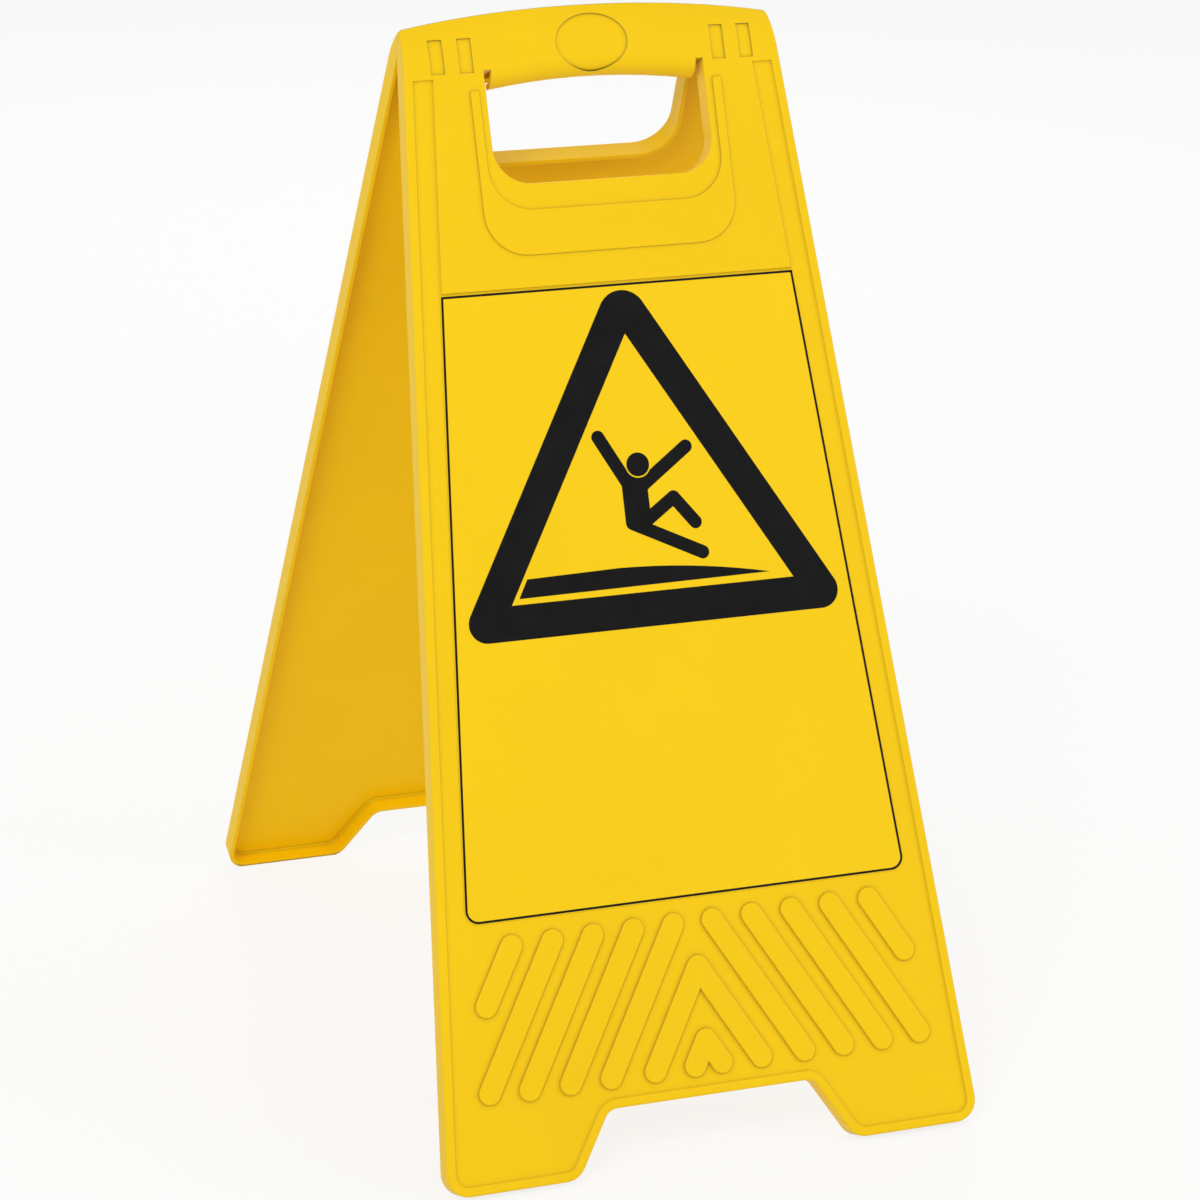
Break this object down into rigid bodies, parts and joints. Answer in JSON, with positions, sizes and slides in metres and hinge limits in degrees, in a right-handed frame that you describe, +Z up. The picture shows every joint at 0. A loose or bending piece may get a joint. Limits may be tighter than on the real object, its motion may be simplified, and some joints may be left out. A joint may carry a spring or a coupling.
{
  "type": "folding floor sign",
  "caption": "Folding A-frame wet floor sign: leaning tray panels with a slip-hazard pictogram, hinged under an arched carrying head.",
  "frame": {"origin": "on the floor, under the middle of the ridge, midway between the feet of the open sign", "axes": "+X to the right across the sign along the hinge axis, +Y to the back, +Z up"},
  "size_m": [0.298, 0.4718, 0.5725],
  "materials": {
    "panel": "moulded yellow polypropylene, fine satin texture",
    "pin": "moulded yellow polypropylene, smooth",
    "label": "yellow self-adhesive vinyl with a satin overlaminate",
    "ink": "black screen print"
  },
  "bodies": {
    "root": {"front_panel": "panel", "front_label": "label", "front_label_border": "ink", "front_pictogram": "ink", "hinge_pin_left": "pin", "hinge_pin_right": "pin"},
    "rear_leg": {"rear_panel": "panel", "rear_label": "label", "rear_label_border": "ink", "rear_pictogram": "ink"}
  },
  "joints": [
    {"name": "panel_fold", "type": "hinge", "parent": "root", "child": "rear_leg", "pos_m": [0, 0, 0.54907], "axis": [-1, 0, 0], "range_deg": [0, 44.4]}
  ]
}
